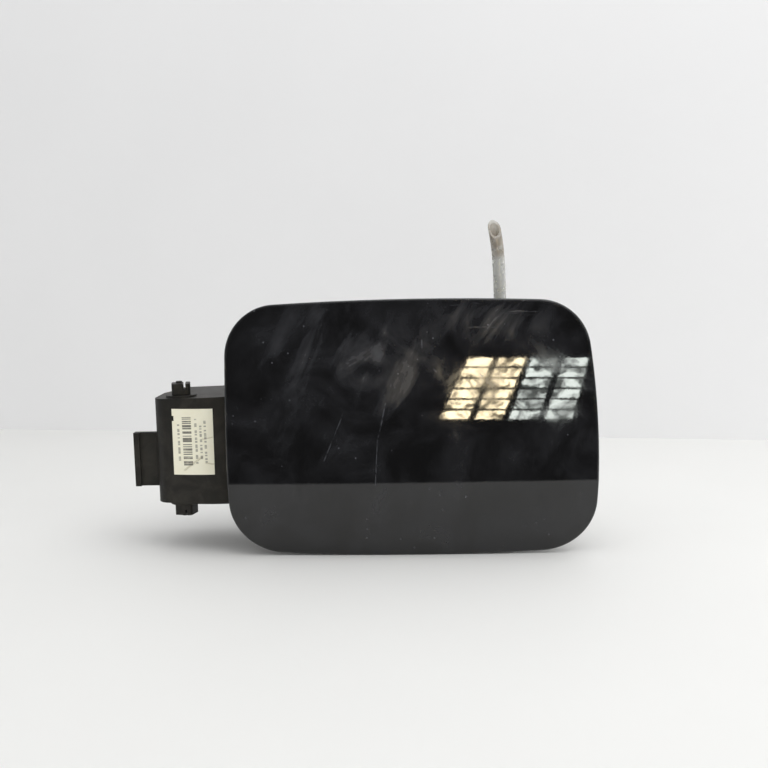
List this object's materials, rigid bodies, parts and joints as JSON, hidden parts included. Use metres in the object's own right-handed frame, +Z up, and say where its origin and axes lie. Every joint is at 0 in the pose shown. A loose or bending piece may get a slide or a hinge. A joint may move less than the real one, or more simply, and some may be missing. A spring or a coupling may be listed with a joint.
{
  "type": "fuel filler flap unit",
  "caption": "Painted creased fuel filler flap on a goose-neck hinge in a moulded filler bowl with a hinge pocket, neck seal, lock bolt and drain hose.",
  "frame": {"origin": "under the middle of the unit without its hose, on the surface that it stands on", "axes": "+X along the flap from the hinge to the lock side, +Y from the flap's face back to the filler neck, +Z up"},
  "size_m": [0.2394, 0.0812, 0.169],
  "materials": {
    "paint_black": "gloss",
    "panel_black": "satin",
    "moulded_black": "satin",
    "steel": "satin",
    "rubber_black": "matte",
    "hose_clear": "satin",
    "label_paper": "matte"
  },
  "bodies": {
    "housing": {"filler_bowl": "moulded_black", "upper_buffer": "rubber_black", "lower_buffer": "rubber_black", "hinge_pin": "steel", "upper_pivot_plug": "moulded_black", "lower_pivot_plug": "moulded_black", "leaf_spring": "steel", "neck_seal": "rubber_black", "lock_actuator": "moulded_black", "actuator_screws": "steel", "lock_pin_boot": "rubber_black", "drain_hose": "hose_clear", "part_label": "label_paper"},
    "flap": {"flap_outer_skin": "paint_black", "flap_inner_panel": "panel_black", "hinge_arm": "moulded_black", "arm_screws": "steel", "striker": "moulded_black", "striker_screws": "steel", "cap_holder": "moulded_black"},
    "lock_bolt": {"lock_pin": "steel"}
  },
  "joints": [
    {"name": "flap_hinge", "type": "hinge", "parent": "housing", "child": "flap", "pos_m": [-0.0935, -0.0151, 0.05355], "axis": [0, 0, -1], "range_deg": [0, 85], "stiffness_Nm_per_rad": 0.15, "springref_deg": -20.05},
    {"name": "lock_slide", "type": "slide", "parent": "housing", "child": "lock_bolt", "axis": [-1, 0, 0], "range_m": [0, 0.01]}
  ]
}
